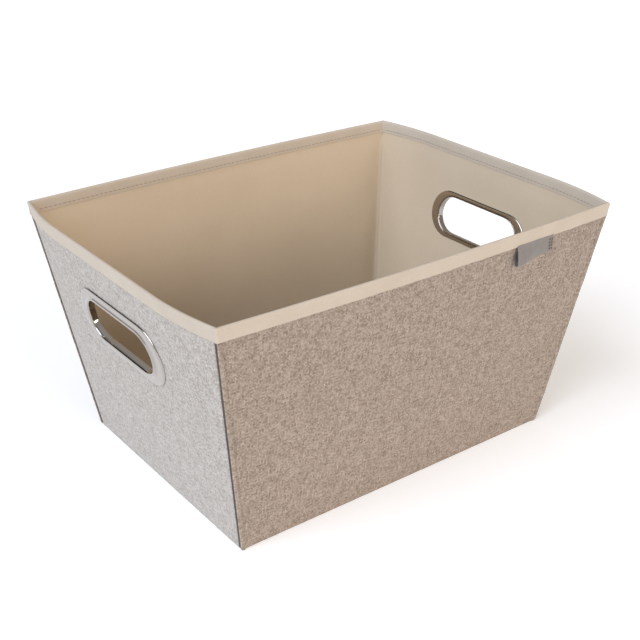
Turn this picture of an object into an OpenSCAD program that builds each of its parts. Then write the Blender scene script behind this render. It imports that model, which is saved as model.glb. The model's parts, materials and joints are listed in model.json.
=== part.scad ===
// Open-topped storage bin of cloth over boards, wider at the rim than at the base.
// Origin: middle of the underside. +X runs along the long front wall to the right,
// +Y to the back, +Z up. The front wall faces -Y.

/* [Overall size] */
// Height from the floor to the top of the rim
bin_height = 218; // [190:1:250]
// Length of the rim over its binding
rim_length = 395; // [380:1:420]
// Width of the rim over its binding
rim_width = 303; // [290:1:320]
// Length of the underside
base_length = 327; // [310:1:345]
// Width of the underside
base_width = 238; // [225:1:250]

/* [Wall layers] */
// Woven outer cloth
cloth_thickness = 0.6; // [0.5:0.1:1]
// Board that stiffens each wall
board_thickness = 1.3; // [1.1:0.1:2]
// Smooth cloth that lines the inside
lining_thickness = 0.3; // [0.3:0.1:0.6]

/* [Wall bow] */
// How far the rims of the short walls swell outwards
short_bow = 8.5; // [0:0.5:10]
// How far the rims of the long walls swell outwards
long_bow = 4; // [0:0.5:6]

/* [Rim binding] */
// Height of the folded tape on the outside
binding_height = 12; // [11:0.5:18]
// Height of the folded tape on the inside
binding_inner_height = 11; // [10:0.5:13]
// Thickness of the tape's outer leg, which is folded under
binding_thickness = 0.6; // [0.5:0.1:1]
// Thickness of the tape's inner leg
binding_inner_thickness = 0.4; // [0.4:0.1:0.8]
// Distance of the line of stitching below the rim
stitch_drop = 8; // [7:0.5:9]

/* [Corner welts] */
// Width of the raised welt along each corner seam
welt_width = 3.5; // [2.5:0.5:5]
// How far the welt stands out from the long walls
welt_height = 1; // [0.5:0.1:1.5]
// Open crease between the welt and the short wall's cloth
crease_width = 1.5; // [1:0.1:2]

/* [Handles] */
// Height of the handle's middle above the floor
handle_height = 150; // [145:0.5:155]
// Length of the hand hole
opening_length = 103; // [94:1:106]
// Width of the hand hole
opening_width = 36; // [32:1:39]
// Length of the outer ring
ring_length = 133; // [126:1:136]
// Width of the outer ring
ring_width = 54; // [50:1:56]
// Thickness of the outer ring's flat flange
flange_thickness = 1.6; // [1:0.1:2]
// How far the rolled lip round the hand hole stands out
lip_height = 3; // [2:0.1:4]
// Wall of the sleeve that passes through the bin's wall
sleeve_wall = 1.2; // [1:0.1:1.6]

/* [Label] */
// Length of the ribbon tag
label_length = 42; // [30:1:48]
// Height of the ribbon tag
label_height = 14; // [12:1:20]
// Distance of the tag's right end from the middle of the front wall
label_right_end = 127; // [110:1:135]
// How far the tag's folded lower edge stands out from the cloth
label_bulge = 5.5; // [2:0.5:8]

/* [Base insert] */
// Thickness of the loose bottom board
insert_board_thickness = 2.5; // [2:0.1:3]
// Clearance round the loose bottom board
insert_clearance = 1; // [0.6:0.1:2]
// Width of the cover's turned-under margin
cover_margin = 18; // [12:1:25]

/* [Hidden] */

cloth_colour = "#B9AA9B";
tape_colour = "#C9BDAC";
lining_colour = "#BDAC96";
board_colour = "#9C8A6E";
chrome_colour = "#C8CACC";
label_colour = "#8C8784";
thread_colour = "#8E7F6C";
$fn = 64;

// Depths below the outer face of a wall, measured square to the wall
board_depth = cloth_thickness;
lining_depth = cloth_thickness + board_thickness;
wall_depth = lining_depth + lining_thickness;

// Walls are numbered in turn round the bin
FRONT = 0;
RIGHT = 1;
BACK = 2;
LEFT = 3;
function is_long(wall) = wall == FRONT || wall == BACK;

// How far each pair of walls leans out for each millimetre of height
lean_x = (rim_length / 2 - binding_thickness - base_length / 2) / bin_height;
lean_y = (rim_width / 2 - binding_thickness - base_width / 2) / bin_height;

// Horizontal distance for each millimetre square to a wall
stretch_x = sqrt(1 + lean_x * lean_x);
stretch_y = sqrt(1 + lean_y * lean_y);

// Distance of a wall's outer face from the middle of the bin, before it bows
function face_x(z) = base_length / 2 + lean_x * z;
function face_y(z) = base_width / 2 + lean_y * z;
function out_at(wall, depth, z) =
    is_long(wall) ? face_y(z) - depth * stretch_y : face_x(z) - depth * stretch_x;
function end_at(wall, depth, z) =
    is_long(wall) ? face_x(z) - depth * stretch_x : face_y(z) - depth * stretch_y;
function half_run(wall, z) = is_long(wall) ? face_x(z) : face_y(z);

// Levels at which the walls change shape
floor_level = cloth_thickness + lining_thickness;
binding_level = bin_height - binding_height;
wall_top = bin_height - 1;

// Every wall is straight at the floor and swells steadily up to the rim. The swell runs between
// shares of the half length: the wall's ends stay straight, and a short wall is flat at the handle.
long_bow_end = 0.96;
short_bow_end = 0.98;
short_bow_flat = 0.52;

function long_profile(share) = max(0, 1 - pow(share / long_bow_end, 2));
function short_profile(share) =
    1 - pow(max(0, min(1, (abs(share) - short_bow_flat) / (short_bow_end - short_bow_flat))), 2);
function bow(wall, share, z) =
    (is_long(wall) ? long_bow * long_profile(share) : short_bow * short_profile(share)) * z / bin_height;

// Places along a wall, and heights up it, where its surface has points
long_steps = 8;
short_steps = 5;
short_flank = [for (i = [0:short_steps]) short_bow_flat + (short_bow_end - short_bow_flat) * i / short_steps];
long_shares = [for (i = [-long_steps:long_steps]) long_bow_end * i / long_steps];
short_shares = concat([for (i = [short_steps:-1:0]) -short_flank[i]], short_flank);
function shares(wall) = is_long(wall) ? long_shares : short_shares;
level_steps = 5;
levels = [for (i = [1:level_steps]) binding_level * i / level_steps];

// Turns a place along a wall and a distance outwards into a point
function place(wall, along, out, z) =
    wall == FRONT ? [along, -out, z]
    : wall == RIGHT ? [out, along, z]
    : wall == BACK ? [-along, out, z]
    : [-out, -along, z];
function wall_point(wall, share, depth, z) =
    place(wall, share * half_run(wall, z), out_at(wall, depth, z) + bow(wall, share, z), z);
function wall_end(wall, side, end_depth, depth, z) =
    place(wall, side * end_at(wall, end_depth, z), out_at(wall, depth, z), z);

// One level of a wall's layer, from its left end to its right end
function wall_row(wall, depth, end_depth, z) = concat(
    [wall_end(wall, -1, end_depth, depth, z)],
    [for (share = shares(wall)) wall_point(wall, share, depth, z)],
    [wall_end(wall, 1, end_depth, depth, z)]
);
function rows_between(low, high) = concat(
    [low], [for (z = levels) if (z > low && z < high) z], [high]
);

// Two triangles of a four-sided patch; every patch is split on the same diagonal
function patch(a, b, c, d) = [[a, b, c], [a, c, d]];
function flat_list(lists) = [for (list = lists) for (item = list) item];

// A layer of a wall between two depths, ending at a depth below the walls beside it
module wall_layer(wall, depth, thickness, end_depth, low, high) {
    heights = rows_between(low, high);
    columns = len(shares(wall)) + 2;
    rows = len(heights);
    outer = flat_list([for (z = heights) wall_row(wall, depth, end_depth, z)]);
    inner = flat_list([for (z = heights) wall_row(wall, depth + thickness, end_depth, z)]);
    back = columns * rows;
    top = columns * (rows - 1);
    faces = flat_list(concat(
        [for (j = [0:rows - 2]) for (i = [0:columns - 2]) let (a = j * columns + i)
            patch(a, a + columns, a + columns + 1, a + 1)],
        [for (j = [0:rows - 2]) for (i = [0:columns - 2]) let (a = back + j * columns + i)
            [[a, a + columns + 1, a + columns], [a, a + 1, a + columns + 1]]],
        [for (i = [0:columns - 2]) patch(i, i + 1, back + i + 1, back + i)],
        [for (i = [0:columns - 2]) patch(top + i, back + top + i, back + top + i + 1, top + i + 1)],
        [for (j = [0:rows - 2]) let (a = j * columns)
            patch(a, back + a, back + a + columns, a + columns)],
        [for (j = [0:rows - 2]) let (a = j * columns + columns - 1)
            patch(a, a + columns, back + a + columns, back + a)]
    ));
    polyhedron(points = concat(outer, inner), faces = faces);
}

// A level plate that fills the bin at a depth below the walls' outer faces
module level_plate(depth, low, high) {
    corners = [for (z = [low, high]) for (k = [[-1, -1], [1, -1], [1, 1], [-1, 1]])
        [k[0] * (face_x(z) - depth * stretch_x), k[1] * (face_y(z) - depth * stretch_y), z]];
    polyhedron(
        points = corners,
        faces = [[0, 1, 2, 3], [4, 7, 6, 5], [0, 4, 5, 1], [1, 5, 6, 2], [2, 6, 7, 3], [3, 7, 4, 0]]
    );
}

// A band that runs right round the walls; section lists [depth, z] pairs
module rim_band(section) {
    walls = [FRONT, RIGHT, BACK, LEFT];
    stations = [for (wall = walls) for (share = concat(shares(wall), [1])) [wall, share]];
    sides = len(section);
    count = len(stations);
    points = [for (station = stations) for (p = section)
        station[1] == 1
            ? wall_end(station[0], 1, p[0], p[0], p[1])
            : wall_point(station[0], station[1], p[0], p[1])];
    faces = flat_list([for (n = [0:count - 1]) for (k = [0:sides - 1])
        let (a = n * sides + k, b = n * sides + (k + 1) % sides)
        let (c = ((n + 1) % count) * sides + (k + 1) % sides, d = ((n + 1) % count) * sides + k)
        patch(a, b, c, d)]);
    polyhedron(points = points, faces = faces);
}

// Outline with two straight sides and two round ends, its long way along Y
module stadium(length, width) {
    straight = length - width;
    square([width, straight], center = true);
    for (side = [-1, 1])
        translate([0, side * straight / 2])
            circle(d = width);
}

module stadium_block(length, width, low, high) {
    translate([0, 0, low])
        linear_extrude(high - low)
            stadium(length, width);
}

// Puts a handle's own frame on a short wall: +Z out of the wall, +X up it
module on_short_wall(side) {
    mirror([side == "left" ? 0 : 1, 0, 0])
        translate([-face_x(handle_height) - short_bow * handle_height / bin_height, 0, handle_height])
            rotate([0, -90 - atan(lean_x + short_bow / bin_height), 0])
                children();
}

// Hole through all the layers of a short wall for the handle's sleeve
sleeve_length = opening_length + 2 * sleeve_wall;
sleeve_width = opening_width + 2 * sleeve_wall;
hole_clearance = 0.3;
module handle_hole(side) {
    on_short_wall(side)
        stadium_block(
            sleeve_length + 2 * hole_clearance, sleeve_width + 2 * hole_clearance,
            -wall_depth - 5, 5
        );
}

// ---- cloth, boards and lining

module long_cloth(wall) {
    color(cloth_colour)
        wall_layer(wall, 0, cloth_thickness, welt_width, 0, wall_top);
}
module short_cloth(wall, side) {
    color(cloth_colour)
        difference() {
            wall_layer(wall, 0, cloth_thickness, cloth_thickness + crease_width, 0, wall_top);
            handle_hole(side);
        }
}
module outer_base_panel() {
    color(cloth_colour) level_plate(cloth_thickness, 0, cloth_thickness);
}
module outer_front_panel() {
    long_cloth(FRONT);
}
module outer_back_panel() {
    long_cloth(BACK);
}
module outer_left_panel() {
    short_cloth(LEFT, "left");
}
module outer_right_panel() {
    short_cloth(RIGHT, "right");
}

module long_board(wall) {
    color(board_colour)
        wall_layer(wall, board_depth, board_thickness, board_depth, cloth_thickness, wall_top);
}
module short_board(wall, side) {
    color(board_colour)
        difference() {
            wall_layer(wall, board_depth, board_thickness, lining_depth, cloth_thickness, wall_top);
            handle_hole(side);
        }
}
module front_board() {
    long_board(FRONT);
}
module back_board() {
    long_board(BACK);
}
module left_board() {
    short_board(LEFT, "left");
}
module right_board() {
    short_board(RIGHT, "right");
}

module long_lining(wall) {
    color(lining_colour)
        wall_layer(wall, lining_depth, lining_thickness, lining_depth, floor_level, wall_top);
}
module short_lining(wall, side) {
    color(lining_colour)
        difference() {
            wall_layer(wall, lining_depth, lining_thickness, wall_depth, floor_level, wall_top);
            handle_hole(side);
        }
}
module lining_base() {
    color(lining_colour) level_plate(lining_depth, cloth_thickness, floor_level);
}
module lining_front() {
    long_lining(FRONT);
}
module lining_back() {
    long_lining(BACK);
}
module lining_left() {
    short_lining(LEFT, "left");
}
module lining_right() {
    short_lining(RIGHT, "right");
}

// ---- seams and rim

// Folded edge of the long wall's cloth, standing up along the corner seam
module corner_welt(side_x, side_y) {
    top = binding_level - 0.5;
    points = [for (z = [0, top]) for (q = [[0, -welt_height], [welt_width, -welt_height],
            [welt_width, cloth_thickness], [0, cloth_thickness]])
        [side_x * (face_x(z) - q[0] * stretch_x), side_y * (face_y(z) - q[1] * stretch_y), z]];
    faces = [[0, 1, 2, 3], [4, 7, 6, 5], [0, 4, 5, 1], [1, 5, 6, 2], [2, 6, 7, 3], [3, 7, 4, 0]];
    turned = side_x * side_y > 0 ? [for (f = faces) [for (i = [3:-1:0]) f[i]]] : faces;
    color(cloth_colour) polyhedron(points = points, faces = turned);
}
module welt_front_left() {
    corner_welt(-1, -1);
}
module welt_front_right() {
    corner_welt(1, -1);
}
module welt_back_left() {
    corner_welt(-1, 1);
}
module welt_back_right() {
    corner_welt(1, 1);
}

// Tape folded over the tops of all the layers
module rim_binding() {
    inner_face = wall_depth + binding_inner_thickness;
    inner_level = bin_height - binding_inner_height;
    color(tape_colour)
        rim_band([
            [-binding_thickness, binding_level],
            [0, binding_level],
            [0, wall_top],
            [wall_depth, wall_top],
            [wall_depth, inner_level],
            [inner_face, inner_level],
            [inner_face, bin_height],
            [-binding_thickness, bin_height]
        ]);
}

// Thread that lies on the inside of the binding, a hair clear of it
stitch_thickness = 0.4;
stitch_width = 0.6;
stitch_gap = 0.03;
module rim_topstitch() {
    near = wall_depth + binding_inner_thickness + stitch_gap;
    far = near + stitch_thickness;
    level = bin_height - stitch_drop;
    color(thread_colour)
        rim_band([
            [near, level - stitch_width / 2],
            [far, level - stitch_width / 2],
            [far, level + stitch_width / 2],
            [near, level + stitch_width / 2]
        ]);
}

// ---- handles

retainer_gap = 0.2;
retainer_thickness = 1.2;
retainer_inset = 8;

// Outer ring with its rolled lip, and the sleeve that goes through the wall
module handle_bezel(side) {
    sleeve_end = -wall_depth - retainer_thickness - 0.4;
    color(chrome_colour)
        on_short_wall(side)
            difference() {
                union() {
                    stadium_block(ring_length, ring_width, 0, flange_thickness);
                    stadium_block(sleeve_length + 3, sleeve_width + 3, 0, lip_height);
                    stadium_block(sleeve_length, sleeve_width, sleeve_end, lip_height);
                }
                stadium_block(opening_length, opening_width, sleeve_end - 1, lip_height + 1);
            }
}
module handle_bezel_left() {
    handle_bezel("left");
}
module handle_bezel_right() {
    handle_bezel("right");
}

// Inner ring that grips the sleeve from inside the bin
module handle_retainer(side) {
    color(chrome_colour)
        on_short_wall(side)
            difference() {
                stadium_block(
                    ring_length - retainer_inset, ring_width - retainer_inset,
                    -wall_depth - retainer_thickness, -wall_depth
                );
                stadium_block(
                    sleeve_length + 2 * retainer_gap, sleeve_width + 2 * retainer_gap,
                    -wall_depth - retainer_thickness - 1, -wall_depth + 1
                );
            }
}
module handle_retainer_left() {
    handle_retainer("left");
}
module handle_retainer_right() {
    handle_retainer("right");
}

// ---- label

// Puts a frame on the front wall: +X along it, +Y up it and +Z out of it
module on_front_wall(x, z) {
    share = x / face_x(z);
    step = 0.01;
    turn = atan((bow(FRONT, share + step, z) - bow(FRONT, share - step, z)) / (2 * step * face_x(z)));
    translate([x, -out_at(FRONT, 0, z) - bow(FRONT, share, z), z])
        rotate([0, 0, -turn])
            rotate([90 + atan(lean_y), 0, 0])
                children();
}

// Ribbon folded along its lower edge into a loop, its two layers meeting under the binding
label_middle = label_right_end - label_length / 2;
ribbon_thickness = 0.5;
label_gap = 0.3;
label_front_top = label_gap + 2 * ribbon_thickness + 0.2;
module side_label() {
    inner_foot = ribbon_thickness - label_height;
    back = label_gap + ribbon_thickness;
    color(label_colour)
        on_front_wall(label_middle, binding_level)
            translate([-label_length / 2, 0, 0])
                rotate([90, 0, 90])
                    linear_extrude(label_length)
                        polygon([
                            [0, label_gap],
                            [1 - label_height, label_gap],
                            [-label_height, label_bulge / 2],
                            [1 - label_height, label_bulge],
                            [0, label_front_top],
                            [0, label_front_top - ribbon_thickness],
                            [inner_foot + 1, label_bulge - ribbon_thickness],
                            [inner_foot, label_bulge / 2],
                            [inner_foot + 1, back],
                            [0, back]
                        ]);
}

// Rows of stitches across the front of the loop, near its right end
label_stitch = 1.8;
label_stitch_pitch = 2.6;
label_stitch_rows = [1.5, 4];
module label_stitches() {
    slope = (label_bulge - label_front_top) / (label_height - 1);
    color(thread_colour)
        on_front_wall(label_middle, binding_level)
            for (inset = label_stitch_rows)
                for (down = [1.5:label_stitch_pitch:label_height - 1 - label_stitch])
                    translate([label_length / 2 - inset, -down, label_front_top + slope * down])
                        rotate([-atan(slope), 0, 0])
                            translate([-stitch_width / 2, -label_stitch, 0.05])
                                cube([stitch_width, label_stitch, stitch_thickness]);
}

// ---- loose bottom

// Half sizes of the covered board, clear of the lining all round
insert_half_x = face_x(floor_level) - wall_depth * stretch_x - insert_clearance;
insert_half_y = face_y(floor_level) - wall_depth * stretch_y - insert_clearance;
cover_thickness = 0.5;
insert_top = floor_level + insert_board_thickness + 2 * cover_thickness;
module insert_block(inset, low, high) {
    translate([inset - insert_half_x, inset - insert_half_y, low])
        cube([2 * (insert_half_x - inset), 2 * (insert_half_y - inset), high - low]);
}
module base_insert_board() {
    color(board_colour)
        insert_block(cover_thickness, floor_level + cover_thickness, insert_top - cover_thickness);
}
module base_insert_cover() {
    color(lining_colour)
        difference() {
            insert_block(0, floor_level, insert_top);
            insert_block(cover_thickness, floor_level + cover_thickness, insert_top - cover_thickness);
            insert_block(cover_margin, floor_level - 1, floor_level + 1);
        }
}

outer_base_panel();
outer_front_panel();
outer_back_panel();
outer_left_panel();
outer_right_panel();
front_board();
back_board();
left_board();
right_board();
lining_base();
lining_front();
lining_back();
lining_left();
lining_right();
welt_front_left();
welt_front_right();
welt_back_left();
welt_back_right();
rim_binding();
rim_topstitch();
handle_bezel_left();
handle_bezel_right();
handle_retainer_left();
handle_retainer_right();
side_label();
label_stitches();
base_insert_board();
base_insert_cover();
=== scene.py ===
import json
import math

import bmesh
import bpy
from mathutils import Matrix, Vector, noise


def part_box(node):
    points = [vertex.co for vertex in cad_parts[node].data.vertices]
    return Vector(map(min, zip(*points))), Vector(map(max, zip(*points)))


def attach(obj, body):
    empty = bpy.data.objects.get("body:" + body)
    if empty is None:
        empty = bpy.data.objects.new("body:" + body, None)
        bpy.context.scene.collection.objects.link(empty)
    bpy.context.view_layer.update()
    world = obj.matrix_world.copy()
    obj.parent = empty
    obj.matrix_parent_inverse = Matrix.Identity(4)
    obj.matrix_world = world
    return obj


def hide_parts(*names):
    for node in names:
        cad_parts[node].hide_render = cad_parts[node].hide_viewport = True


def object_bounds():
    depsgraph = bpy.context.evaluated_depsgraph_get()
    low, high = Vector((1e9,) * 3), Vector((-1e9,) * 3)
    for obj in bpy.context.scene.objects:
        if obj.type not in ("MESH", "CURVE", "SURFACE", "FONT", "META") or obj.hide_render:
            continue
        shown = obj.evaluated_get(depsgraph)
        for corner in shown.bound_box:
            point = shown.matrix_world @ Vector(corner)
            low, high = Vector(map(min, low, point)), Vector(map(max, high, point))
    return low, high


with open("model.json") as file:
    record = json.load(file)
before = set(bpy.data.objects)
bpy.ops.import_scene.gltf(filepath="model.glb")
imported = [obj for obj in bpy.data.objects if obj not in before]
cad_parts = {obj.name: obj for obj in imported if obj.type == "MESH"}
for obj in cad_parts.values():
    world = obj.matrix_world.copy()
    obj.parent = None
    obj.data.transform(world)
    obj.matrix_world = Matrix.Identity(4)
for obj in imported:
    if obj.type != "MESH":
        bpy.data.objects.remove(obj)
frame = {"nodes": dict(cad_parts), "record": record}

cadLow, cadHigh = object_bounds()
print("Frame loaded:", len(frame["nodes"]), "CAD nodes")

# Pieces are worked out in millimetres and turned to metres when they are made
metre = 0.001


# Turns an sRGB hex value into the linear colour that the shaders use
def linearColour(hexValue):
    channels = [int(hexValue[i:i + 2], 16) / 255 for i in (1, 3, 5)]
    linear = [c / 12.92 if c <= 0.04045 else ((c + 0.055) / 1.055) ** 2.4 for c in channels]
    return (*linear, 1)


# Adds a node, with its settings, and links or sets its inputs
def addNode(tree, kind, settings=None, inputs=None):
    node = tree.nodes.new("ShaderNode" + kind)
    for name, value in (settings or {}).items():
        setattr(node, name, value)
    for name, value in (inputs or {}).items():
        if isinstance(value, bpy.types.NodeSocket):
            tree.links.new(value, node.inputs[name])
        else:
            node.inputs[name].default_value = value
    return node


def startMaterial(name):
    material = bpy.data.materials.new(name)
    material.use_nodes = True
    material.node_tree.nodes.clear()
    return material, material.node_tree


def finishMaterial(tree, inputs):
    surface = addNode(tree, "BsdfPrincipled", None, inputs)
    addNode(tree, "OutputMaterial", None, {"Surface": surface.outputs["BSDF"]})


# Woven polyester with a linen look: plain weave of slubby heather yarns, matt, with a painted highlight
# where the yarns crown and painted shade between them
heatherCloth = {
    "yarnPitch": 1.4,  # mm; the real yarns are about 0.7 mm apart, which is too fine to show
    "wander": 0.1,  # how far the yarns stray from straight, in yarn pitches
    "slubLength": 7,  # yarn pitches from a thick place to the next
    "fleck": 0.3,  # share of the tone that changes from one crossing to the next
    "paleYarn": "#CBC6C0",
    "middleYarn": "#B3ACA5",
    "darkYarn": "#948B82",
    "gapShade": 0.74,  # painted shade: brightness between the yarns
    "relief": 0.2,  # mm
    "roughness": 0.92,
}


def wovenMaterial(name, look, across, up):
    material, tree = startMaterial(name)
    place = addNode(tree, "TexCoord").outputs["Object"]
    axes = addNode(tree, "SeparateXYZ", None, {0: place})
    flat = addNode(tree, "CombineXYZ", None, {"X": axes.outputs[across], "Y": axes.outputs[up]}).outputs[0]
    pitch = look["yarnPitch"] * metre
    straight = addNode(tree, "VectorMath", {"operation": "SCALE"}, {0: flat, "Scale": 1 / pitch}).outputs[0]
    stray = addNode(tree, "TexNoise", {"noise_dimensions": "2D"},
                    {"Vector": straight, "Scale": 0.16, "Detail": 2})
    wander = (look["wander"], look["wander"], 0)
    yarns = addNode(tree, "VectorMath", {"operation": "MULTIPLY_ADD"},
                    {0: stray.outputs["Color"], 1: wander, 2: straight}).outputs[0]
    cell = addNode(tree, "VectorMath", {"operation": "FLOOR"}, {0: yarns}).outputs[0]
    inCell = addNode(tree, "VectorMath", {"operation": "FRACTION"}, {0: yarns}).outputs[0]
    cellAxes = addNode(tree, "SeparateXYZ", None, {0: cell})
    inAxes = addNode(tree, "SeparateXYZ", None, {0: inCell})
    yarnAxes = addNode(tree, "SeparateXYZ", None, {0: yarns})

    # 0 where an upright yarn lies on top and 1 where a level one does
    total = addNode(tree, "Math", {"operation": "ADD"}, {0: cellAxes.outputs[0], 1: cellAxes.outputs[1]})
    levelOnTop = addNode(tree, "Math", {"operation": "FLOORED_MODULO"},
                         {0: total.outputs[0], 1: 2}).outputs[0]

    # Round section of each yarn, and its crown where it passes over
    rounds = []
    for k in (0, 1):
        rest = addNode(tree, "Math", {"operation": "SUBTRACT"}, {0: 1, 1: inAxes.outputs[k]}).outputs[0]
        bulge = addNode(tree, "Math", {"operation": "MULTIPLY"}, {0: inAxes.outputs[k], 1: rest}).outputs[0]
        rounds.append(addNode(tree, "Math", {"operation": "MULTIPLY"}, {0: bulge, 1: 4}).outputs[0])
    heights = []
    for k in (0, 1):
        section = addNode(tree, "Math", {"operation": "POWER"}, {0: rounds[k], 1: 0.6}).outputs[0]
        crown = addNode(tree, "Math", {"operation": "MULTIPLY_ADD"}, {0: rounds[1 - k], 1: 0.45, 2: 0.55})
        raised = addNode(tree, "Math", {"operation": "MULTIPLY"}, {0: section, 1: crown.outputs[0]})
        heights.append(raised.outputs[0])
    height = addNode(tree, "Mix", {"data_type": "FLOAT"},
                     {"Factor": levelOnTop, 2: heights[0], 3: heights[1]}).outputs[0]

    # Each yarn's own tone, which drifts along it
    tones = []
    for k in (0, 1):
        along = addNode(tree, "Math", {"operation": "MULTIPLY"},
                        {0: yarnAxes.outputs[1 - k], 1: 1 / look["slubLength"]}).outputs[0]
        own = addNode(tree, "Math", {"operation": "MULTIPLY"}, {0: cellAxes.outputs[k], 1: 3.71}).outputs[0]
        spot = addNode(tree, "CombineXYZ", None, {"X": own, "Y": along, "Z": 40 * k}).outputs[0]
        drift = addNode(tree, "TexNoise", None, {"Vector": spot, "Scale": 1, "Detail": 1})
        tones.append(drift.outputs["Fac"])
    yarnTone = addNode(tree, "Mix", {"data_type": "FLOAT"}, {"Factor": levelOnTop, 2: tones[0], 3: tones[1]})
    fleck = addNode(tree, "TexWhiteNoise", {"noise_dimensions": "2D"}, {"Vector": cell}).outputs["Value"]
    tone = addNode(tree, "Mix", {"data_type": "FLOAT"},
                   {"Factor": look["fleck"], 2: yarnTone.outputs[0], 3: fleck}).outputs[0]
    toPale = addNode(tree, "MapRange", None, {"Value": tone, "From Min": 0.5, "From Max": 0.78}).outputs[0]
    toDark = addNode(tree, "MapRange", None, {"Value": tone, "From Min": 0.5, "From Max": 0.22}).outputs[0]
    pale = addNode(tree, "Mix", {"data_type": "RGBA"},
                   {0: toPale, 6: linearColour(look["middleYarn"]), 7: linearColour(look["paleYarn"])})
    heather = addNode(tree, "Mix", {"data_type": "RGBA"},
                      {0: toDark, 6: pale.outputs[2], 7: linearColour(look["darkYarn"])})
    # Painted shade in the gaps between the yarns and a painted highlight on their crowns
    light = addNode(tree, "MapRange", None, {"Value": height, "To Min": look["gapShade"], "To Max": 1.05})
    shaded = addNode(tree, "VectorMath", {"operation": "SCALE"},
                     {0: heather.outputs[2], "Scale": light.outputs[0]}).outputs[0]
    bump = addNode(tree, "Bump", None,
                   {"Strength": 0.8, "Distance": look["relief"] * metre, "Height": height})
    rough = addNode(tree, "MapRange", None,
                    {"Value": tone, "To Min": look["roughness"], "To Max": look["roughness"] - 0.1})
    finishMaterial(tree, {"Base Color": shaded, "Roughness": rough.outputs[0], "Normal": bump.outputs[0],
                          "Specular IOR Level": 0.25, "Sheen Weight": 0.12, "Sheen Roughness": 0.5})
    return material


# Soft cloths and boards without a weave that shows: their colour drifts, and fibres give a fine grain
def fibreMaterial(name, look):
    material, tree = startMaterial(name)
    place = addNode(tree, "TexCoord").outputs["Object"]
    drawn = addNode(tree, "Mapping", None, {"Vector": place, "Scale": look["stretch"]}).outputs[0]
    fibres = addNode(tree, "TexNoise", None,
                     {"Vector": drawn, "Scale": 1 / (look["grain"] * metre), "Detail": 3, "Roughness": 0.6})
    drift = addNode(tree, "TexNoise", None,
                    {"Vector": place, "Scale": 1 / (look["drift"] * metre), "Detail": 2})
    amount = addNode(tree, "Mix", {"data_type": "FLOAT"},
                     {"Factor": 0.4, 2: fibres.outputs["Fac"], 3: drift.outputs["Fac"]}).outputs[0]
    share = addNode(tree, "MapRange", None, {"Value": amount, "From Min": 0.3, "From Max": 0.7}).outputs[0]
    colour = addNode(tree, "Mix", {"data_type": "RGBA"},
                     {0: share, 6: linearColour(look["darkTone"]), 7: linearColour(look["paleTone"])})
    rough = addNode(tree, "MapRange", None,
                    {"Value": share, "To Min": look["roughness"], "To Max": look["roughness"] - 0.08})
    bump = addNode(tree, "Bump", None,
                   {"Strength": 0.5, "Distance": look["relief"] * metre, "Height": fibres.outputs["Fac"]})
    finishMaterial(tree, {"Base Color": colour.outputs[2], "Roughness": rough.outputs[0],
                          "Normal": bump.outputs[0], "Specular IOR Level": look["gloss"],
                          "Sheen Weight": look["sheen"], "Sheen Roughness": 0.5})
    return material


# Polyester binding tape, closely woven: plain cream beige, matt, with a faint grain
tapeLook = {
    "paleTone": "#C3B8AA", "darkTone": "#B8AB9B", "grain": 0.9, "drift": 30, "stretch": (1, 1, 1),
    "roughness": 0.88, "relief": 0.12, "gloss": 0.25, "sheen": 0.1,
}
# Spun-bonded polypropylene lining: smooth and plain, with short fibres that only a near look shows
liningLook = {
    "paleTone": "#C9B9A3", "darkTone": "#C0B099", "grain": 1.2, "drift": 60, "stretch": (1, 1, 1),
    "roughness": 0.85, "relief": 0.08, "gloss": 0.2, "sheen": 0.05,
}
# Grey chipboard, pressed from waste paper: dull, with long fibres and dark specks
boardLook = {
    "paleTone": "#A8967A", "darkTone": "#857359", "grain": 1.5, "drift": 12, "stretch": (1, 0.4, 1),
    "roughness": 0.95, "relief": 0.1, "gloss": 0.2, "sheen": 0,
}


# Satin ribbon, woven from bright filament: grey, with fine ribs across it and a silky gloss
ribbonLook = {"face": "#8A8480", "rib": "#6B6561", "ribPitch": 1.1, "roughness": 0.42, "relief": 0.08}


def ribbonMaterial():
    look = ribbonLook
    material, tree = startMaterial("satinRibbon")
    place = addNode(tree, "TexCoord").outputs["Object"]
    # Real ribs are 0.3 mm apart, which is too fine to show
    ribs = addNode(tree, "TexWave", {"bands_direction": "X"},
                   {"Vector": place, "Scale": 0.314 / (look["ribPitch"] * metre), "Distortion": 0.6})
    worn = addNode(tree, "TexNoise", None, {"Vector": place, "Scale": 1 / (6 * metre), "Detail": 2})
    share = addNode(tree, "Mix", {"data_type": "FLOAT"},
                    {"Factor": 0.5, 2: ribs.outputs["Fac"], 3: worn.outputs["Fac"]}).outputs[0]
    colour = addNode(tree, "Mix", {"data_type": "RGBA"},
                     {0: share, 6: linearColour(look["rib"]), 7: linearColour(look["face"])})
    bump = addNode(tree, "Bump", None,
                   {"Strength": 0.5, "Distance": look["relief"] * metre, "Height": ribs.outputs["Fac"]})
    rough = addNode(tree, "MapRange", None,
                    {"Value": share, "To Min": look["roughness"] + 0.12, "To Max": look["roughness"]})
    finishMaterial(tree, {"Base Color": colour.outputs[2], "Roughness": rough.outputs[0],
                          "Normal": bump.outputs[0], "Sheen Weight": 0.2, "Sheen Roughness": 0.3})
    return material


# Chrome plate on pressed steel, polished: mirrors the studio, with faint finger marks
chromeLook = {"plate": "#AFAAA5", "clean": 0.06, "handled": 0.16, "markSize": 14}


def chromeMaterial():
    look = chromeLook
    material, tree = startMaterial("chromePlate")
    place = addNode(tree, "TexCoord").outputs["Object"]
    marks = addNode(tree, "TexNoise", None,
                    {"Vector": place, "Scale": 1 / (look["markSize"] * metre), "Detail": 4,
                     "Roughness": 0.65})
    rough = addNode(tree, "MapRange", None,
                    {"Value": marks.outputs["Fac"], "From Min": 0.4, "From Max": 0.75,
                     "To Min": look["clean"], "To Max": look["handled"]})
    finishMaterial(tree, {"Base Color": linearColour(look["plate"]), "Metallic": 1,
                          "Roughness": rough.outputs[0]})
    return material


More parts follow.
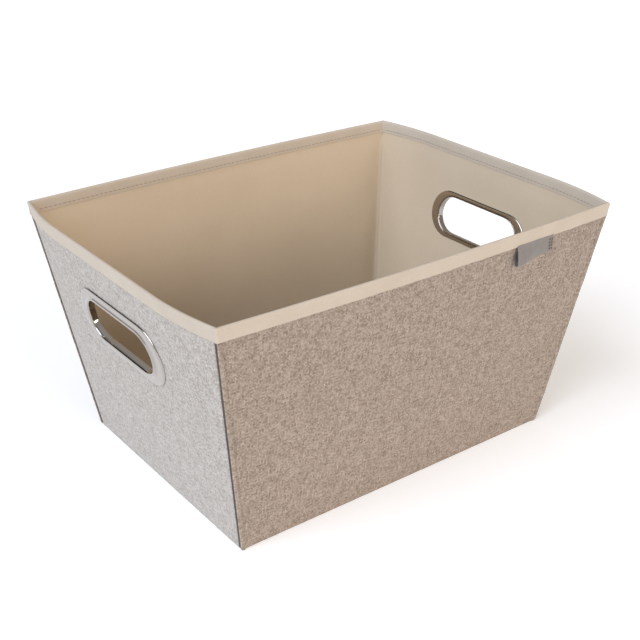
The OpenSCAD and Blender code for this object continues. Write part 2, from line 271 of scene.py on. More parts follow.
# Spun polyester sewing thread: two plies twisted together, slightly hairy and matt
threadLook = {"pale": "#A89A88", "dark": "#7A6C5B", "plyPitch": 0.9, "roughness": 0.7}


def threadMaterial(name, look):
    material, tree = startMaterial(name)
    place = addNode(tree, "TexCoord").outputs["Object"]
    plies = addNode(tree, "TexWave", {"bands_direction": "DIAGONAL"},
                    {"Vector": place, "Scale": 0.314 / (look["plyPitch"] * metre), "Distortion": 0.4})
    colour = addNode(tree, "Mix", {"data_type": "RGBA"},
                     {0: plies.outputs["Fac"], 6: linearColour(look["dark"]), 7: linearColour(look["pale"])})
    bump = addNode(tree, "Bump", None,
                   {"Strength": 0.6, "Distance": 0.1 * metre, "Height": plies.outputs["Fac"]})
    finishMaterial(tree, {"Base Color": colour.outputs[2], "Roughness": look["roughness"],
                          "Normal": bump.outputs[0], "Sheen Weight": 0.1})
    return material


# Painted shade: the long walls get a darker, warmer copy of the same cloth, standing in for the dimmer,
# warmer light that falls on them
shadedWarmCloth = {**heatherCloth, "paleYarn": "#B7A99D", "middleYarn": "#9C8E82", "darkYarn": "#776957"}
longShadedCloth = wovenMaterial("heatherClothLongWallsPaintedShade", shadedWarmCloth, "X", "Z")
shortCloth = wovenMaterial("heatherClothShortWalls", heatherCloth, "Y", "Z")
baseCloth = wovenMaterial("heatherClothBase", heatherCloth, "X", "Y")
# The same cloth inside a seam, painted near black as shade where no light reaches
seamShade = {**heatherCloth, "paleYarn": "#584C44", "middleYarn": "#40362F", "darkYarn": "#2B2420"}
seamShadeCloth = wovenMaterial("heatherClothSeamsPaintedShade", seamShade, "Y", "Z")
bindingTape = fibreMaterial("polyesterTape", tapeLook)
liningCloth = fibreMaterial("spunbondLining", liningLook)
chipboard = fibreMaterial("greyChipboard", boardLook)
satinRibbon = ribbonMaterial()
chromePlate = chromeMaterial()
sewingThread = threadMaterial("polyesterThread", threadLook)
darkThread = threadMaterial("polyesterThreadDark", {**threadLook, "pale": "#4E4742", "dark": "#2C2825"})
print("Materials made")

# Where the walls swell, in shares of a wall's half length
swell = {"longEnd": 0.96, "shortEnd": 0.98, "shortFlat": 0.52}
wallLayers = {"cloth": 0.6, "board": 1.3, "lining": 0.3}
liningDepth = wallLayers["cloth"] + wallLayers["board"]
wallDepth = liningDepth + wallLayers["lining"]


def nodePoints(node):
    return [v.co / metre for v in frame["nodes"][node].data.vertices]


def outerCorner(level):
    near = [p for p in nodePoints("front_board") if abs(p.z - level) < 0.05]
    return max(near, key=lambda p: abs(p.x) + abs(p.y))


# The front board's corners give both pairs of walls their lean
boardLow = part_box("front_board")[0] / metre
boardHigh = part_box("front_board")[1] / metre
lowCorner = outerCorner(boardLow.z)
topCorner = outerCorner(boardHigh.z)
boardRise = boardHigh.z - boardLow.z
leanX = (abs(topCorner.x) - abs(lowCorner.x)) / boardRise
leanY = (abs(topCorner.y) - abs(lowCorner.y)) / boardRise
stretchX = math.hypot(1, leanX)
stretchY = math.hypot(1, leanY)
footX = abs(lowCorner.x) + wallLayers["cloth"] * stretchX - leanX * lowCorner.z
footY = abs(lowCorner.y) + wallLayers["cloth"] * stretchY - leanY * lowCorner.z
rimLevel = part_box("rim_binding")[1].z / metre
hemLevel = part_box("rim_binding")[0].z / metre

# How far the rims swell past the walls' straight lean
longBow = (-boardLow.y - abs(topCorner.y)) * rimLevel / boardHigh.z
shortReach = max(-p.x - leanX * p.z for p in nodePoints("left_board"))
shortRise = shortReach - footX + wallLayers["cloth"] * stretchX
shortBow = shortRise * rimLevel / boardHigh.z
print("Walls measured: lean", round(leanX, 4), round(leanY, 4), "bow", round(longBow, 2), round(shortBow, 2))


def ease(t):
    t = min(1, max(0, t))
    return 0.5 - 0.5 * math.cos(math.pi * t)


def isLong(wall):
    return wall in ("front", "back")


def faceOf(wall, z):
    return footY + leanY * z if isLong(wall) else footX + leanX * z


# Distance from the middle of the bin at a depth below a wall's outer face
def outAt(wall, depth, z):
    return faceOf(wall, z) - depth * (stretchY if isLong(wall) else stretchX)


# Half the length of a wall at a depth below the walls beside it
def endAt(wall, endDepth, z):
    return outAt("left" if isLong(wall) else "front", endDepth, z)


def bow(wall, along, z):
    share = abs(along / endAt(wall, 0, z))
    if isLong(wall):
        return longBow * max(0, 1 - (share / swell["longEnd"]) ** 2) * z / rimLevel
    flank = (share - swell["shortFlat"]) / (swell["shortEnd"] - swell["shortFlat"])
    return shortBow * (1 - min(1, max(0, flank)) ** 2) * z / rimLevel


def onWall(wall, along, out, z):
    if wall == "front":
        return Vector((along, -out, z))
    if wall == "right":
        return Vector((out, along, z))
    if wall == "back":
        return Vector((-along, out, z))
    return Vector((-out, -along, z))


def wallPoint(wall, along, depth, z):
    return onWall(wall, along, outAt(wall, depth, z) + bow(wall, along, z), z)


# Frame on a wall's face: its origin, then along the wall, up it and out of it
def wallFrame(wall, along, z):
    origin = wallPoint(wall, along, 0, z)
    side = (wallPoint(wall, along + 1, 0, z) - wallPoint(wall, along - 1, 0, z)).normalized()
    rise = wallPoint(wall, along, 0, z + 1) - wallPoint(wall, along, 0, z - 1)
    out = side.cross(rise).normalized()
    return origin, side, out.cross(side), out


# Soft, repeatable unevenness from -1 to 1; each seed gives another pattern
def uneven(x, y, seed):
    return noise.noise(Vector((x, y, 17.3 * seed)))


def evenly(low, high, step):
    count = max(1, round((high - low) / step))
    return [low + (high - low) * i / count for i in range(count + 1)]


# Quads between rows of points; each row is a closed ring, and flat ladders of quads cap the ends
def loft(rows, joined=False):
    size = len(rows[0])
    points = [p for row in rows for p in row]
    faces = []
    for j in range(len(rows) if joined else len(rows) - 1):
        here = j * size
        there = (j + 1) % len(rows) * size
        faces += [(here + i, here + (i + 1) % size, there + (i + 1) % size, there + i) for i in range(size)]
    if not joined:
        for start in (0, (len(rows) - 1) * size):
            faces += [(start + i, start + i + 1, start + size - 2 - i, start + size - 1 - i)
                      for i in range(size // 2 - 1)]
    return points, faces


def makePiece(name, shape, material, body="bin", sharpFrom=40):
    points, faces = shape
    mesh = bpy.data.meshes.new(name)
    mesh.from_pydata([p * metre for p in points], [], faces)
    tidy = bmesh.new()
    tidy.from_mesh(mesh)
    bmesh.ops.remove_doubles(tidy, verts=tidy.verts, dist=0.01 * metre)
    bmesh.ops.recalc_face_normals(tidy, faces=tidy.faces)
    if tidy.calc_volume(signed=True) < 0:
        bmesh.ops.reverse_faces(tidy, faces=tidy.faces)
    tidy.to_mesh(mesh)
    tidy.free()
    mesh.materials.append(material)
    mesh.polygons.foreach_set("use_smooth", [True] * len(mesh.polygons))
    mesh.set_sharp_from_angle(angle=math.radians(sharpFrom))
    piece = bpy.data.objects.new(name, mesh)
    bpy.context.scene.collection.objects.link(piece)
    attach(piece, body)
    return piece


# Closed outline with two straight sides and two round ends, its long way along Y
def stadium(length, width, bend=14, run=16):
    half = (length - width) / 2
    radius = width / 2
    outline = []
    for side in (1, -1):
        outline += [(side * radius, side * (-half + 2 * half * i / run)) for i in range(run)]
        turns = [math.pi * i / bend for i in range(bend)]
        outline += [(side * radius * math.cos(a), side * (half + radius * math.sin(a))) for a in turns]
    return outline


handle = {
    "openingLength": 103,
    "openingWidth": 36,
    "ringLength": 133,
    "ringWidth": 54,
    "sleeve": 1.2,  # wall of the part that passes through the bin's wall
    "lipHeight": 3.0,
    "flange": 1.6,
    "innerInset": 8,  # how much smaller the inner ring is
    "innerThickness": 1.2,
}
gripHeight = next(m for m in frame["record"]["mounts"] if m["name"] == "hand_hold_left")["pos_m"][2] / metre


# How far a place on a short wall is from the outer ring's edge; below 0 it is under the ring
def awayFromRing(along, z):
    half = (handle["ringLength"] - handle["ringWidth"]) / 2
    up = (z - gripHeight) * stretchX
    return math.hypot(max(0, abs(along) - half), up) - handle["ringWidth"] / 2


# Cuts the hand hole through a layer of a short wall
def cutHandHole(piece, side, clearance):
    origin, along, up, out = wallFrame(side, 0, gripHeight)
    grow = 2 * (handle["sleeve"] + clearance)
    outline = stadium(handle["openingLength"] + grow, handle["openingWidth"] + grow)
    rows = [[origin + up * x + along * y + out * depth for x, y in outline] for depth in (-12, 8)]
    cutter = makePiece("cutter", loft(rows), chipboard)
    modifier = piece.modifiers.new("handHole", "BOOLEAN")
    modifier.object = cutter
    modifier.operation = "DIFFERENCE"
    modifier.solver = "EXACT"
    modifier.use_self = True
    bakeModifiers(piece)
    bpy.data.objects.remove(cutter)


def bakeModifiers(piece):
    shown = piece.evaluated_get(bpy.context.evaluated_depsgraph_get())
    mesh = bpy.data.meshes.new_from_object(shown)
    piece.modifiers.clear()
    piece.data = mesh


# One layer of a wall: its outer and inner faces are depth functions of the place on the wall
def layerShape(wall, low, high, endDepth, outerDepth, innerDepth, step, margin=(0, 0.3, 0.8, 1.6, 2.6)):
    levels = [low + m for m in margin] + evenly(low + margin[-1], high, step)[1:]
    columns = round(2 * endAt(wall, 0, high) / step)
    rows = []
    for z in levels:
        end = endAt(wall, endDepth(z), z)
        middle = end - margin[-1]
        alongs = [-end + m for m in margin[:-1]]
        alongs += [middle * (2 * i / columns - 1) for i in range(columns + 1)]
        alongs += [end - m for m in reversed(margin[:-1])]
        outer = [wallPoint(wall, a, outerDepth(a, z, end), z) for a in alongs]
        inner = [wallPoint(wall, a, innerDepth(a, z, end), z) for a in reversed(alongs)]
        rows.append(outer + inner)
    return loft(rows)


# Depth by which an edge rounds off, for a distance from that edge
def roundOff(distance, width, depth):
    t = min(1, max(0, distance / width))
    return depth * (1 - math.sqrt(1 - (1 - t) ** 2))


# The cloth lies on the boards with a little ease, and is drawn tight at the rings, the tape and the seams
outerCloth = {
    "step": 3,  # mm between points
    "ease": 0.55,  # how far it lifts from the board
    "pucker": 0.25,  # small folds below the tape
    "puckerPitch": 13,
    "creaseEdge": 4.1,  # depth below the long walls at which the short walls' cloth turns into the seam
    "turnIn": 2.2,  # width over which it turns in
    "turnDepth": 0.46,
    "cutHeight": 220,  # height of the flat piece before it is sewn
}


def makeOuterCloth(wall, seed):
    look = outerCloth
    long = isLong(wall)
    endDepth = 3.4 if long else look["creaseEdge"]

    def outerDepth(along, z, end):
        edge = end - abs(along)
        drawn = ease(edge / 14) * ease(z / 12) * (1 - ease((z - hemLevel + 20) / 12))
        if not long:
            drawn *= ease(awayFromRing(along, z) / 10)
        lift = look["ease"] * (0.5 + 0.5 * uneven(along / 55, z / 48, seed))
        lift += 0.3 * look["ease"] * uneven(along / 19, z / 23, seed + 3)
        below = max(0, 1 - (hemLevel - z) / 22) * (1 if z < hemLevel else 0)
        pucker = look["pucker"] * below * (0.5 + 0.5 * uneven(along / look["puckerPitch"], z / 60, seed + 5))
        turned = roundOff(edge, 1 if long else look["turnIn"], look["turnDepth"])
        sunk = min(look["turnDepth"], turned + roundOff(z, 1.2, look["turnDepth"]))
        return sunk - max(0, lift) * drawn - pucker * ease(edge / 14)

    def innerDepth(along, z, end):
        return wallLayers["cloth"] - 0.02

    shape = layerShape(wall, 0, rimLevel - 1.2, lambda z: endDepth, outerDepth, innerDepth, look["step"])
    # The long walls take the painted-shade copy of the cloth
    piece = makePiece(wall + "_cloth", shape, longShadedCloth if long else shortCloth)
    if not long:
        cutHandHole(piece, wall, 0.4)
    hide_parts(f"outer_{wall}_panel")
    return piece, (round(2 * endAt(wall, endDepth, rimLevel / 2) * metre, 3),
                   round(look["cutHeight"] * metre, 3))


for seed, wall in enumerate(("front", "right", "back", "left")):
    makeOuterCloth(wall, seed)


# Flat layers across the bottom of the bin
def plateShape(depth, low, high, sag, step=6):
    halfX = footX + leanX * low - depth * stretchX
    halfY = footY + leanY * low - depth * stretchY
    rows = []
    for y in evenly(-halfY, halfY, step):
        xs = evenly(-halfX, halfX, step)
        upper = [Vector((x, y, high - roundOff(min(halfX - abs(x), halfY - abs(y)), 1, 0.2))) for x in xs]
        lower = [Vector((x, y, low + sag * (0.5 + 0.5 * uneven(x / 40, y / 40, 9))
                         * ease(min(halfX - abs(x), halfY - abs(y)) / 12))) for x in reversed(xs)]
        rows.append(upper + lower)
    return loft(rows), (2 * halfX, 2 * halfY)


def makePlate(name, node, material, depth, sag):
    low, high = (corner.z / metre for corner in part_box(node))
    shape, size = plateShape(depth, low, high, sag)
    piece = makePiece(name, shape, material)
    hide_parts(node)


makePlate("base_cloth", "outer_base_panel", baseCloth, wallLayers["cloth"] + 0.02, 0.25)
makePlate("floor_lining", "lining_base", liningCloth, liningDepth, 0.1)
print("Outer cloth made")

# The lining hangs a little slack from the tape, and rounds the corners between the walls
lining = {
    "step": 4,
    "slack": 0.9,
    "ripple": 0.45,  # soft upright ripples between the seams
    "cornerRadius": 5,
    "cutHeight": 218,
}
cornerShare = 1 - math.sqrt(0.5)


def makeLining(wall, seed):
    look = lining
    long = isLong(wall)

    def free(z):
        return (0.35 + 0.65 * ease((z - 4) / 30)) * (1 - ease((z - rimLevel + 24) / 12))

    def endDepth(z):
        return wallDepth + cornerShare * look["cornerRadius"] * free(z)

    def innerDepth(along, z, end):
        radius = look["cornerRadius"] * free(z)
        edge = end - abs(along) + cornerShare * radius
        corner = roundOff(edge, radius, radius) if radius > 0.01 else 0
        drawn = free(z) * ease((z - 4) / 30) * ease((end - abs(along)) / 20)
        if not long:
            drawn *= ease((awayFromRing(along, z) + 2) / 14)
        slack = look["slack"] * (0.5 + 0.5 * uneven(along / 75, z / 60, seed + 10))
        ripple = look["ripple"] * (0.5 + 0.5 * uneven(along / 21, z / 110, seed + 14))
        return wallDepth + corner + (slack + ripple) * drawn

    def outerDepth(along, z, end):
        return liningDepth

    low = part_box(f"lining_{wall}")[0].z / metre
    shape = layerShape(wall, low, rimLevel - 1.2, endDepth, outerDepth, innerDepth, look["step"])
    piece = makePiece(wall + "_lining", shape, liningCloth)
    if not long:
        cutHandHole(piece, wall, 0.4)
    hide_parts(f"lining_{wall}")
    width = 2 * endAt(wall, wallDepth, rimLevel / 2) * metre


for seed, wall in enumerate(("front", "right", "back", "left")):
    makeLining(wall, seed)
print("Lining made")

# Folded edge of the long walls' cloth, standing up beside a dark crease at each corner
welt = {
    "step": 2.5,
    # Depths below the short wall and below the long wall, round the fold
    "section": [
        (3.9, 0.25), (3.7, -0.35), (3.1, -0.8), (2.2, -1.05), (1.2, -1.1), (0.35, -0.95),
        (-0.2, -0.5), (-0.35, 0), (-0.15, 0.4), (0.4, 0.57), (2.0, 0.58), (3.9, 0.58),
    ],
    # Allowance that lies across the bottom of the crease
    "allowance": [(0.4, 0.62), (0.44, 2.2), (0.44, 4.4), (0.58, 4.4), (0.58, 2.2), (0.58, 0.62)],
    "waver": 0.16,
}


def seamShape(section, signX, signY, seed, waver):
    rows = []
    for z in evenly(0, hemLevel - 0.4, welt["step"]):
        row = []
        for i, (depthX, depthY) in enumerate(section):
            outward = waver * uneven(z / 7, i / 3, seed) + waver * uneven(z / 31, 0, seed + 1)
            foot = roundOff(z, 1.2, 0.4)
            x = footX + leanX * z - (depthX - outward + foot) * stretchX
            y = footY + leanY * z - (depthY - outward + foot) * stretchY
            row.append(Vector((signX * x, signY * y, z)))
        rows.append(row)
    return loft(rows)


def makeSeams(long, short, seed):
    signs = (-1 if short == "left" else 1, -1 if long == "front" else 1)
    shape = seamShape(welt["section"], *signs, seed, welt["waver"])
    # The welt also wears the long walls' painted-shade copy of the cloth
    fold = makePiece(f"corner_welt_{long}_{short}", shape, longShadedCloth, sharpFrom=70)
    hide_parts(f"welt_{long}_{short}")
    shape = seamShape(welt["allowance"], *signs, seed, 0)
    # The allowance is painted dark as the shade at the bottom of the crease
    allowance = makePiece(f"seam_allowance_{long}_{short}", shape, seamShadeCloth)
    return [fold, allowance]


for seed, long in enumerate(("front", "back")):
    makeSeams(long, "left", seed) + makeSeams(long, "right", seed + 4)
print("Corner seams made")

# Tape folded over the rim: its outer hem stands off the cloth, and its inner edge is stitched down
tape = {
    "step": 3,
    "face": 0.6,  # thickness of the outer leg
    "hemFlare": 0.45,
    "hemWaver": 0.3,
    "topCrown": 0.1,
    "innerThickness": 0.4,
    "innerDrop": 11,
    "stitchPitch": 4.5,
    "stitchLength": 3.3,
    "stitchWidth": 0.5,
    "cornerRadius": 1.3,
    "cutWidth": 30,  # both legs, the strip over the top and a turned hem
}
tapeInside = wallDepth + tape["innerThickness"]
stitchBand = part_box("rim_topstitch")
stitchLevel = (stitchBand[0].z + stitchBand[1].z) / 2 / metre


def tapeSection(run):
    flare = tape["hemFlare"] + tape["hemWaver"] * uneven(run / 16, 0, 21) + 0.15 * uneven(run / 5, 0, 22)
    flare = max(0.1, flare)
    face = -tape["face"]
    inside = tapeInside
    under = wallDepth + 0.03
    hem = hemLevel + 0.2 * uneven(run / 23, 0, 23)
    dimple = 0.05 + 0.07 * math.cos(2 * math.pi * run / tape["stitchPitch"])
    inner = rimLevel - tape["innerDrop"] + 0.2 * uneven(run / 20, 0, 24)
    crown = rimLevel + tape["topCrown"]
    return [
        (0.03, hem + 0.5), (face / 2 - 0.5 * flare, hem), (face - flare, hem + 0.12),
        (face - 0.12 - flare, hem + 0.6), (face - 0.1 - 0.85 * flare, hem + 1.5),
        (face - 0.06 - 0.45 * flare, hem + 3.2), (face - 0.02 - 0.15 * flare, hem + 5.5), (face, hem + 8),
        (face + 0.02, rimLevel - 2.2), (face + 0.12, rimLevel - 1.2), (face + 0.42, rimLevel - 0.4),
        (0.35, crown - 0.06), (1.0, crown), (1.65, crown - 0.06), (inside - 0.42, rimLevel - 0.4),
        (inside - 0.12, rimLevel - 1.2), (inside, rimLevel - 2.4), (inside, rimLevel - 5),
        (inside - 0.3 * dimple, stitchLevel + 0.8), (inside - dimple, stitchLevel),
        (inside, stitchLevel - 0.8),
        (inside + 0.05, inner + 0.6), (inside - 0.08, inner + 0.1), (under, inner),
        (under, rimLevel - 1.15), (0.03, rimLevel - 1.15),
    ]


# Corner radius of the rim at a depth below the walls' outer faces
def rimRadius(depth):
    return 0.3 + (tape["cornerRadius"] - 0.3) * max(0, tapeInside - depth) / (tapeInside + tape["face"])


def makeTape():
    rows = []
    run = 0
    for wall in ("front", "right", "back", "left"):
        length = 2 * endAt(wall, 0, rimLevel)
        for share in evenly(-1, 1, 2 * tape["step"] / length):
            row = []
            for depth, z in tapeSection(run + length * (share + 1) / 2):
                end = endAt(wall, depth + rimRadius(depth), z)
                row.append(wallPoint(wall, share * end, depth, z))
            rows.append(row)
        run += length
        beside = {"front": "right", "right": "back", "back": "left", "left": "front"}[wall]
        for turn in (15, 30, 45, 60, 75):
            angle = math.radians(turn)
            row = []
            for depth, z in tapeSection(run + turn / 15):
                radius = rimRadius(depth)
                out = outAt(wall, depth + radius, z) + radius * math.cos(angle)
                along = outAt(beside, depth + radius, z) + radius * math.sin(angle)
                row.append(onWall(wall, along, out, z))
            rows.append(row)
        run += 6
    piece = makePiece("rim_tape", loft(rows, joined=True), bindingTape, sharpFrom=60)
    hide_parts("rim_binding")
    return piece


# Short round-ended bars of thread, each from one point to another
def stitchShapes(ends, width, outwards):
    points = []
    faces = []
    sides = 8
    profile = [(0, 0.25), (0.1, 0.75), (0.35, 1), (0.65, 1), (0.9, 0.75), (1, 0.25)]
    for (start, stop), out in zip(ends, outwards):
        run = (stop - start).normalized()
        across = run.cross(out).normalized()
        lift = out * width * 0.35
        rows = []
        for share, size in profile:
            centre = start.lerp(stop, share) + lift * math.sin(math.pi * share)
            turns = [2 * math.pi * i / sides for i in range(sides)]
            rows.append([centre + (across * math.cos(a) + out * math.sin(a)) * width / 2 * size
                         for a in turns])
        some, quads = loft(rows)
        faces += [tuple(i + len(points) for i in quad) for quad in quads]
        points += some
    return points, faces


def makeRimStitches():
    ends = []
    outwards = []
    z = stitchLevel
    for wall in ("front", "right", "back", "left"):
        reach = endAt(wall, tapeInside, z) - 4
        count = round(2 * reach / tape["stitchPitch"])
        for i in range(count):
            middle = -reach + 2 * reach * (i + 0.5) / count
            half = tape["stitchLength"] / 2
            depth = tapeInside + 0.05
            ends.append([wallPoint(wall, middle - half, depth, z), wallPoint(wall, middle + half, depth, z)])
            outwards.append(-wallFrame(wall, middle, z)[3])
    shape = stitchShapes(ends, tape["stitchWidth"], outwards)
    piece = makePiece("rim_stitches", shape, sewingThread)
    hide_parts("rim_topstitch")


makeTape()
makeRimStitches()
print("Rim made")


# Chrome rings: an outer one with a rolled lip and a sleeve, and an inner one pressed on from inside
def ringRows(side, section):
    origin, along, up, out = wallFrame(side, 0, gripHeight)
    return [[origin + up * x + along * y + out * height for x, y in stadium(length, width)]
            for length, width, height in section]


def makeHandle(side):
    h = handle
    long, wide = h["openingLength"], h["openingWidth"]
    lip = h["lipHeight"]
    flat = h["flange"]
    sleeveEnd = -wallDepth - h["innerThickness"] - 0.4
    growLong = h["ringLength"] - long
    growWide = h["ringWidth"] - wide

    # A share of the way from the hand hole's edge to the ring's edge
    def between(share, height):
        return (long + growLong * share, wide + growWide * share, height)

    def around(offset, height):
        return (long + 2 * offset, wide + 2 * offset, height)

    section = [
        around(0.35, sleeveEnd), around(0.08, sleeveEnd + 0.25), around(0, sleeveEnd + 0.8), around(0, -1.5),
        around(0, lip - 1.5), around(0.12, lip - 0.85), around(0.45, lip - 0.35), around(0.95, lip - 0.06),
        around(1.5, lip), around(2.1, lip - 0.12), around(2.7, lip - 0.5), around(3.2, lip - 1.0),
        around(3.7, lip - 1.3), between(0.45, flat + 0.02), between(0.6, flat), between(0.8, flat - 0.04),
        between(0.91, flat - 0.12), between(0.955, flat - 0.32), between(0.985, flat - 0.7),
        between(1, flat - 1.15), between(0.998, 0.12), between(0.985, 0.02), between(0.6, 0.02),
        around(h["sleeve"] + 0.1, 0.02), around(h["sleeve"], -0.3), around(h["sleeve"], sleeveEnd + 0.5),
        around(h["sleeve"] - 0.25, sleeveEnd + 0.08), around(0.8, sleeveEnd),
    ]
    bezel = makePiece(f"ring_{side}", loft(ringRows(side, section), joined=True), chromePlate, sharpFrom=75)
    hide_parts(f"handle_bezel_{side}")

    insideLong = h["ringLength"] - h["innerInset"]
    insideWide = h["ringWidth"] - h["innerInset"]
    hole = h["sleeve"] + 0.2
    low = -wallDepth - h["innerThickness"]
    section = [
        around(hole, -wallDepth - 0.02), around(hole, low + 0.35), around(hole + 0.12, low + 0.08),
        around(hole + 0.5, low), (insideLong - 2.4, insideWide - 2.4, low + 0.02),
        (insideLong - 0.9, insideWide - 0.9, low + 0.15), (insideLong - 0.2, insideWide - 0.2, low + 0.5),
        (insideLong, insideWide, -wallDepth - 0.3), (insideLong - 0.1, insideWide - 0.1, -wallDepth - 0.02),
    ]
    retainer = makePiece(f"inner_ring_{side}", loft(ringRows(side, section), joined=True), chromePlate,
                         sharpFrom=75)
    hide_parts(f"handle_retainer_{side}")


for side in ("left", "right"):
    makeHandle(side)
print("Hand holds made")

# Ribbon folded into a loop along its lower edge, open at its left end and pressed flat towards its right
tag = {
    "thickness": 0.5,
    "gap": 0.35,
    "bulgeLeft": 7.5,  # how far the fold stands off the wall at either end
    "bulgeRight": 2.2,
    "slant": 3,  # how far the fold's left end strays to the left
    "stitchRows": (1.5, 4),
    "stitchLength": 1.9,
    "stitchPitch": 2.7,
    "cutLength": 42,
    "cutHeight": 35,  # both sides of the loop and its fold
}


def tagPoint(along, down, out):
    origin, side, up, outward = wallFrame("front", along, hemLevel)
    return origin - up * down + outward * out


def makeTag():
    low, high = (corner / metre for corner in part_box("side_label"))
    left, right = low.x, high.x
    height = (hemLevel - low.z) * stretchY
    rows = []
    for share in [i / 24 for i in range(25)]:
        bulge = tag["bulgeLeft"] + (tag["bulgeRight"] - tag["bulgeLeft"]) * ease(share * 1.1)
        bulge += 0.25 * math.sin(9 * share)
        radius = min(1.6, bulge / 2)
        centre = tag["gap"] + tag["thickness"] / 2
        line = [(-1.5, centre), (0, centre), (0.35 * height, centre + 0.02 * bulge),
                (0.7 * height, centre + 0.12 * bulge)]
        fold = centre + bulge - radius
        for turn in (-60, -30, 0, 30, 60, 90):
            a = math.radians(turn)
            line.append((height - radius + radius * math.cos(a), fold - radius * 0.4 + radius * math.sin(a)))
        top = centre + tag["thickness"] + 0.1
        line += [(0.62 * height, centre + 0.72 * bulge), (0.3 * height, centre + 0.36 * bulge + 0.3),
                 (0, top), (-1.5, top)]
        row = []
        normals = []
        for i in range(len(line)):
            before = line[max(0, i - 1)]
            after = line[min(len(line) - 1, i + 1)]
            step = Vector((after[0] - before[0], after[1] - before[1])).normalized()
            normals.append(Vector((-step.y, step.x)))
        half = tag["thickness"] / 2
        ring = [(line[i][0] + normals[i].x * half, line[i][1] + normals[i].y * half)
                for i in range(len(line))]
        ring += [(line[i][0] - normals[i].x * half, line[i][1] - normals[i].y * half)
                 for i in reversed(range(len(line)))]
        for down, out in ring:
            stray = tag["slant"] * (1 - share) * max(0, down / height) ** 1.5
            row.append(tagPoint(left + (right - left) * share - stray, down, out))
        rows.append(row)
    piece = makePiece("ribbon_tag", loft(rows), satinRibbon, sharpFrom=60)
    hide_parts("side_label")

    ends = []
    outwards = []
    slope = (tag["bulgeRight"] + 0.2) / height
    for inset in tag["stitchRows"]:
        down = 1.2
        while down + tag["stitchLength"] < height - 1:
            pair = []
            for step in (down, down + tag["stitchLength"]):
                out = tag["gap"] + 1.75 * tag["thickness"] + 0.35 + slope * step
                pair.append(tagPoint(right - inset, step, out))
            ends.append(pair)
            outwards.append(wallFrame("front", right - inset, hemLevel)[3])
            down += tag["stitchPitch"]
    stitches = makePiece("tag_stitches", stitchShapes(ends, 0.6, outwards), darkThread)
    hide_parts("label_stitches")


makeTag()
print("Ribbon tag made")

# Loose bottom: board wrapped in lining cloth, whose margins are turned under and glued
insert = {"step": 5, "margin": 18, "thickness": 0.5, "cornerRadius": 3, "edgeRadius": 1.2, "crown": 0.25}


def makeInsertCover():
    look = insert
    low, high = (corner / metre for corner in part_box("base_insert_cover"))
    halfX, halfY = high.x, high.y
    points = []
    xs = evenly(-halfX, halfX, look["step"])
    ys = evenly(-halfY, halfY, look["step"])
    reach = look["edgeRadius"]

    def rounded(x, y, inset):
        x *= (halfX - inset) / halfX
        y *= (halfY - inset) / halfY
        radius = look["cornerRadius"]
        overX = abs(x) - (halfX - inset - radius)
        overY = abs(y) - (halfY - inset - radius)
        far = math.hypot(overX, overY)
        if overX > 0 and overY > 0 and far > radius:
            x = math.copysign(halfX - inset - radius + overX * radius / far, x)
            y = math.copysign(halfY - inset - radius + overY * radius / far, y)
        return x, y

    for y in ys:
        for x in xs:
            edge = min(halfX - abs(x), halfY - abs(y))
            lift = look["crown"] * (0.5 + 0.5 * uneven(x / 60, y / 60, 31)) * ease(edge / 25)
            points.append(Vector((*rounded(x, y, reach), high.z - look["crown"] + lift)))
    wide = len(xs)
    faces = [(j * wide + i, j * wide + i + 1, (j + 1) * wide + i + 1, (j + 1) * wide + i)
             for j in range(len(ys) - 1) for i in range(wide - 1)]
    edge = [(i, 0) for i in range(wide)] + [(wide - 1, j) for j in range(1, len(ys))]
    edge += [(i, len(ys) - 1) for i in range(wide - 2, -1, -1)] + [(0, j) for j in range(len(ys) - 2, 0, -1)]
    last = [j * wide + i for i, j in edge]
    top = high.z - look["crown"]
    rings = [(reach * (1 - math.sin(a)), top - reach * (1 - math.cos(a)))
             for a in (0.4, 0.8, 1.2, math.pi / 2)]
    rings += [(0, low.z + 0.6), (0.2, low.z + 0.2), (0.6, low.z)]
    rings += [(0.6 + (look["margin"] - 0.6) * i / 4, low.z) for i in (1, 2, 3, 4)]
    for inset, z in rings:
        start = len(points)
        points += [Vector((*rounded(xs[i], ys[j], inset), z)) for i, j in edge]
        ring = list(range(start, len(points)))
        faces += [(last[k], last[(k + 1) % len(ring)], ring[(k + 1) % len(ring)], ring[k])
                  for k in range(len(ring))]
        last = ring
    piece = makePiece("insert_cover", (points, faces), liningCloth, body="base_insert", sharpFrom=60)
    thicken = piece.modifiers.new("thickness", "SOLIDIFY")
    thicken.thickness = look["thickness"] * metre
    thicken.offset = -1
    bakeModifiers(piece)
    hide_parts("base_insert_cover")


makeInsertCover()
print("Loose bottom made")

for node in ("front_board", "back_board", "left_board", "right_board", "base_insert_board"):
    board = frame["nodes"][node]
    board.data.materials.clear()
    board.data.materials.append(chipboard)

# Camera: round the bin from straight ahead, above the floor, and turned about its own axis
view = {
    "azimuth": -36.64, "elevation": 26.51, "roll": -0.14,  # degrees
    "distance": 4.72, "right": 0.0079, "up": -0.0132,  # in heights of the bin
    "lens": 64.83,
}


def makeCamera():
    around, above, roll = (math.radians(view[k]) for k in ("azimuth", "elevation", "roll"))
    size = cadHigh.z
    back = Vector((math.sin(around) * math.cos(above), -math.cos(around) * math.cos(above), math.sin(above)))
    level = Vector((0, 0, 1)).cross(back).normalized()
    rise = back.cross(level)
    right = level * math.cos(roll) + rise * math.sin(roll)
    up = rise * math.cos(roll) - level * math.sin(roll)
    data = bpy.data.cameras.new("camera")
    data.lens = view["lens"]
    data.sensor_width = 36
    camera = bpy.data.objects.new("camera", data)
    turn = Matrix((right, up, back)).transposed().to_4x4()
    middle = Vector((0, 0, size / 2))
    shift = (back * view["distance"] + right * view["right"] + up * view["up"]) * size
    camera.matrix_world = Matrix.Translation(middle + shift) @ turn
    bpy.context.scene.collection.objects.link(camera)
    bpy.context.scene.camera = camera


makeCamera()

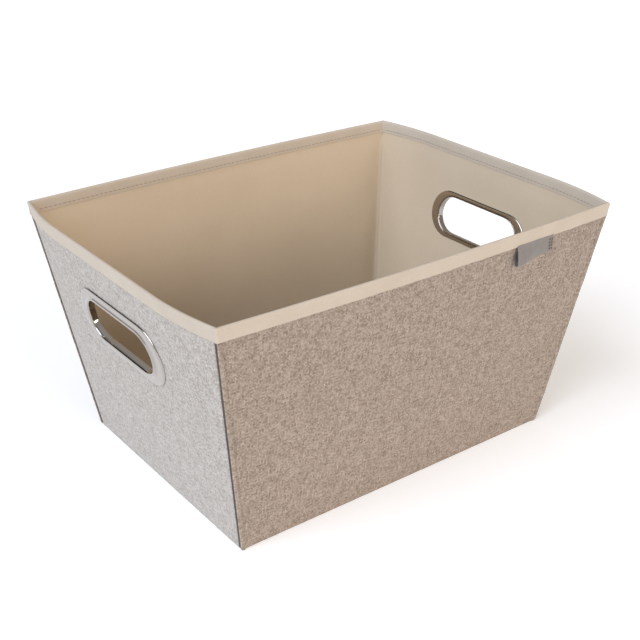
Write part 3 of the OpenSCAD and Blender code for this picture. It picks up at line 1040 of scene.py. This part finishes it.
# Cool soft light from the left in a white room that is dimmer and warmer towards the front and the right,
# with a dark screen high at the back for the chrome to mirror
studio = {
    "keyColour": "#E6F0FF", "keyPower": 2.4, "keyAzimuth": -84, "keyElevation": 40, "keySoftness": 50,
    "fillColour": "#FFF0E0", "fillPower": 1.4, "fillAzimuth": 6, "fillElevation": 17, "fillSoftness": 24,
    "bright": "#FFFFFF", "dim": "#E3D3C4", "brightTowards": (-0.9, 0.1, 0.42), "roomPower": 0.55,
    "screen": "#1A1614", "screenTowards": (-0.35, 0.72, 0.6), "screenFrom": 0.88, "screenTo": 0.94,
    "floor": "#FAFAFA", "floorGlow": 0.22,
}


def makeSun(name, colour, power, azimuth, elevation, softness):
    data = bpy.data.lights.new(name, "SUN")
    data.color = linearColour(colour)[:3]
    data.energy = power
    data.angle = math.radians(softness)
    a, e = math.radians(azimuth), math.radians(elevation)
    towards = Vector((math.sin(a) * math.cos(e), -math.cos(a) * math.cos(e), math.sin(e)))
    light = bpy.data.objects.new(name, data)
    light.rotation_euler = towards.to_track_quat("Z", "Y").to_euler()
    bpy.context.scene.collection.objects.link(light)


def makeRoom():
    s = studio
    world = bpy.data.worlds.new("whiteRoom")
    world.use_nodes = True
    tree = world.node_tree
    tree.nodes.clear()
    towards = addNode(tree, "TexCoord").outputs["Generated"]
    facing = addNode(tree, "VectorMath", {"operation": "DOT_PRODUCT"}, {0: towards, 1: s["brightTowards"]})
    share = addNode(tree, "MapRange", {"interpolation_type": "SMOOTHSTEP"},
                    {"Value": facing.outputs["Value"], "From Min": -0.5, "From Max": 0.7})
    room = addNode(tree, "Mix", {"data_type": "RGBA"},
                   {0: share.outputs[0], 6: linearColour(s["dim"]), 7: linearColour(s["bright"])})
    facing = addNode(tree, "VectorMath", {"operation": "DOT_PRODUCT"}, {0: towards, 1: s["screenTowards"]})
    share = addNode(tree, "MapRange", {"interpolation_type": "SMOOTHSTEP"},
                    {"Value": facing.outputs["Value"], "From Min": s["screenFrom"],
                     "From Max": s["screenTo"]})
    colour = addNode(tree, "Mix", {"data_type": "RGBA"},
                     {0: share.outputs[0], 6: room.outputs[2], 7: linearColour(s["screen"])})
    light = addNode(tree, "Background", None, {"Color": colour.outputs[2], "Strength": s["roomPower"]})
    addNode(tree, "OutputWorld", None, {"Surface": light.outputs[0]})
    bpy.context.scene.world = world

    half = 15  # metres
    mesh = bpy.data.meshes.new("floor")
    corners = [(-half, -half, 0), (half, -half, 0), (half, half, 0), (-half, half, 0)]
    mesh.from_pydata(corners, [], [(0, 1, 2, 3)])
    material, tree = startMaterial("paintedFloor")
    finishMaterial(tree, {"Base Color": linearColour(s["floor"]), "Roughness": 0.9,
                          "Specular IOR Level": 0.1,
                          "Emission Color": linearColour(s["floor"]), "Emission Strength": s["floorGlow"]})
    mesh.materials.append(material)
    floor = bpy.data.objects.new("floor", mesh)
    bpy.context.scene.collection.objects.link(floor)


for name in ("key", "fill"):
    settings = [studio[name + part] for part in ("Colour", "Power", "Azimuth", "Elevation", "Softness")]
    makeSun(name, *settings)
makeRoom()
bpy.context.scene.view_settings.view_transform = "Standard"
print("Camera, light and floor made")
